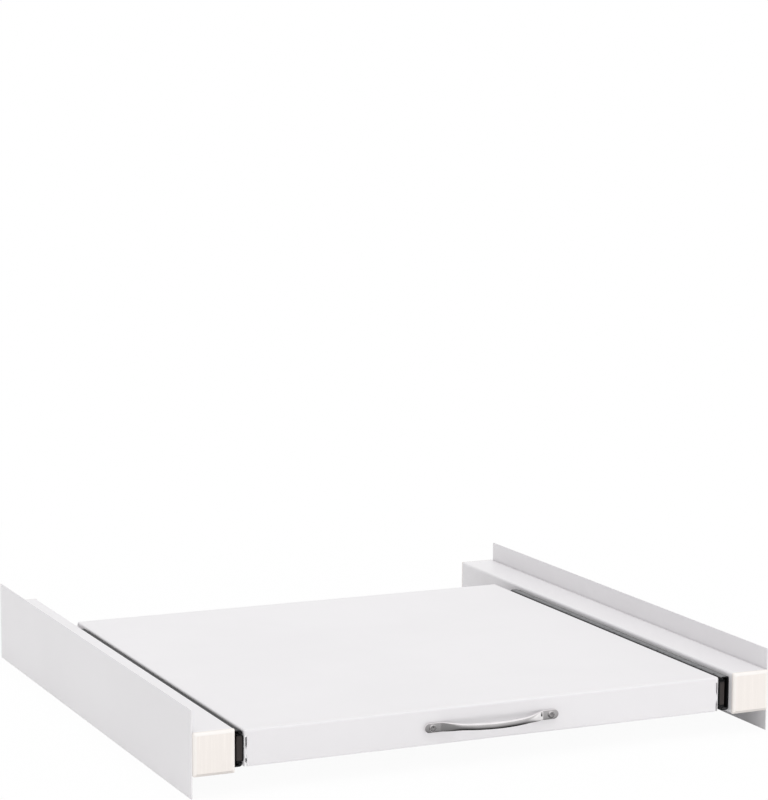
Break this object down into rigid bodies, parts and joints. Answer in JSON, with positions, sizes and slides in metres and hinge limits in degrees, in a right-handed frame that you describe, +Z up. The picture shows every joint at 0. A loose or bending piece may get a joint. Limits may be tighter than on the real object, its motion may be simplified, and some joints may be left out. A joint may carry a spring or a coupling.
{
  "type": "stacking kit with pull-out shelf",
  "caption": "Low steel frame that stacks one appliance on another, with a folded steel shelf between its beams that pulls out on ball slides by a bow handle.",
  "frame": {"origin": "centre of the bounding box's underside, level with the side plates' lower edges", "axes": "+Z up, the shelf opens towards -Y, +X to the right seen from the front"},
  "size_m": [0.62, 0.6292, 0.0845],
  "materials": {
    "powder_white": "white powder coat, semi-gloss",
    "cap_plastic": "moulded, cream white, satin",
    "slide_black": "black electro-coated steel, semi-gloss",
    "cage_steel": "bare strip steel",
    "ball_steel": "polished bearing steel, greased",
    "handle_chrome": "bright chrome plate",
    "screw_zinc": "zinc plated",
    "rubber_black": "black rubber, matte",
    "plug_grey": "dark grey moulded plastic"
  },
  "bodies": {
    "frame": {"side_plate_left": "powder_white", "side_plate_right": "powder_white", "beam_left": "powder_white", "beam_right": "powder_white", "cross_strap_front": "powder_white", "cross_strap_rear": "powder_white", "end_cap_front_left": "cap_plastic", "end_cap_front_right": "cap_plastic", "end_cap_rear_left": "cap_plastic", "end_cap_rear_right": "cap_plastic", "outer_rail_left": "slide_black", "outer_rail_right": "slide_black", "rear_bumper_left": "rubber_black", "rear_bumper_right": "rubber_black", "grip_pads_left": "rubber_black", "grip_pads_right": "rubber_black", "outer_rail_screws_left": "screw_zinc", "outer_rail_screws_right": "screw_zinc", "strap_screws": "screw_zinc"},
    "shelf": {"shelf_tray": "powder_white", "shelf_stiffener": "powder_white", "handle": "handle_chrome", "handle_screws": "handle_chrome", "handle_nuts": "screw_zinc", "inner_rail_left": "slide_black", "inner_rail_right": "slide_black", "front_plug_left": "plug_grey", "front_plug_right": "plug_grey", "inner_rail_screws_left": "screw_zinc", "inner_rail_screws_right": "screw_zinc", "inner_rail_nuts_left": "screw_zinc", "inner_rail_nuts_right": "screw_zinc"},
    "cage_left": {"ball_cage_left": "cage_steel", "balls_left": "ball_steel"},
    "cage_right": {"ball_cage_right": "cage_steel", "balls_right": "ball_steel"}
  },
  "joints": [
    {"name": "shelf_slide", "type": "slide", "parent": "frame", "child": "shelf", "axis": [0, -1, 0], "range_m": [0, 0.335]},
    {"name": "cage_left_slide", "type": "slide", "parent": "frame", "child": "cage_left", "axis": [0, -1, 0], "range_m": [0, 0.1675]},
    {"name": "cage_right_slide", "type": "slide", "parent": "frame", "child": "cage_right", "axis": [0, -1, 0], "range_m": [0, 0.1675]}
  ],
  "couplings": [
    {"joint": "cage_left_slide", "follows": "shelf_slide", "ratio": 0.5},
    {"joint": "cage_right_slide", "follows": "shelf_slide", "ratio": 0.5}
  ]
}
